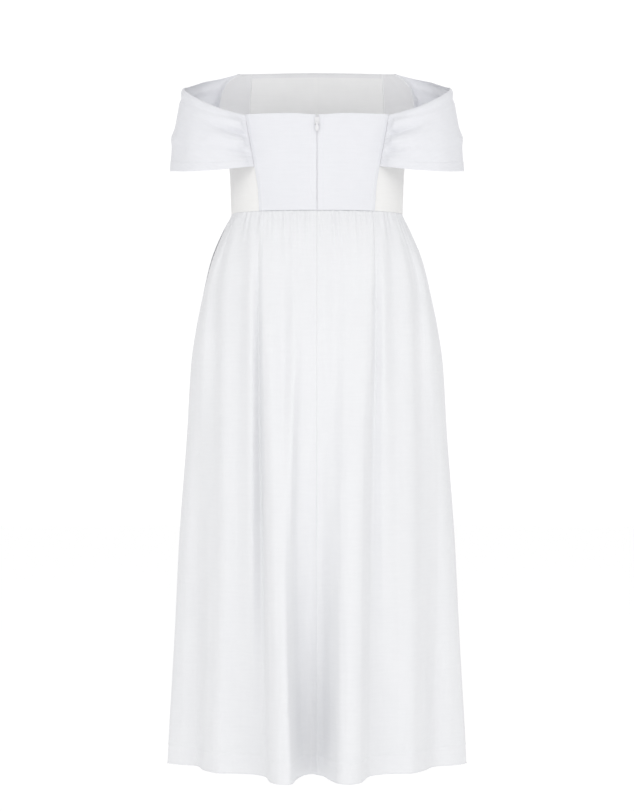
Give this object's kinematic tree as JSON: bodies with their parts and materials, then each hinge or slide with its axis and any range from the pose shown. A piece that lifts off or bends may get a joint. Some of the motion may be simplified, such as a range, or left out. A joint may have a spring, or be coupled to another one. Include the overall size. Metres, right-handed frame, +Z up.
{
  "type": "off-shoulder dress",
  "caption": "Off-shoulder midi dress held open as worn: fitted panelled bodice, draped cap sleeves, raised waist seam, gathered skirt with deep folds and a centre-back zip.",
  "frame": {"origin": "on the wearer's upright axis at the height of the raised waist seam, where the bodice closes round the ribs and the worn dress is held", "axes": "+Z up towards the neckline, +X towards the wearer's left, +Y towards the wearer's back and the zip, -Y the way the wearer faces"},
  "size_m": [0.4864, 0.4087, 1.133],
  "materials": {
    "crepe": "matt white crepe with a fine plain weave",
    "lining": "smooth white lining with a low sheen",
    "tape": "woven white zip tape",
    "enamelled_metal": "white enamel"
  },
  "bodies": {
    "dress": {"bodice_back_left": "crepe", "bodice_back_right": "crepe", "bodice_side_back_left": "crepe", "bodice_side_back_right": "crepe", "bodice_side_front_left": "crepe", "bodice_side_front_right": "crepe", "bodice_front": "crepe", "front_lining": "lining", "sleeve_left": "crepe", "sleeve_right": "crepe", "skirt_back_left": "crepe", "skirt_back_right": "crepe", "skirt_front": "crepe", "zip_tape": "tape", "zip_slider": "enamelled_metal"},
    "pull_tab": {"zip_pull": "enamelled_metal"}
  },
  "joints": [
    {"name": "pull_tab_swing", "type": "hinge", "parent": "dress", "child": "pull_tab", "pos_m": [0, 0.1037, 0.1365], "axis": [1, 0, 0], "range_deg": [0, 165]}
  ]
}
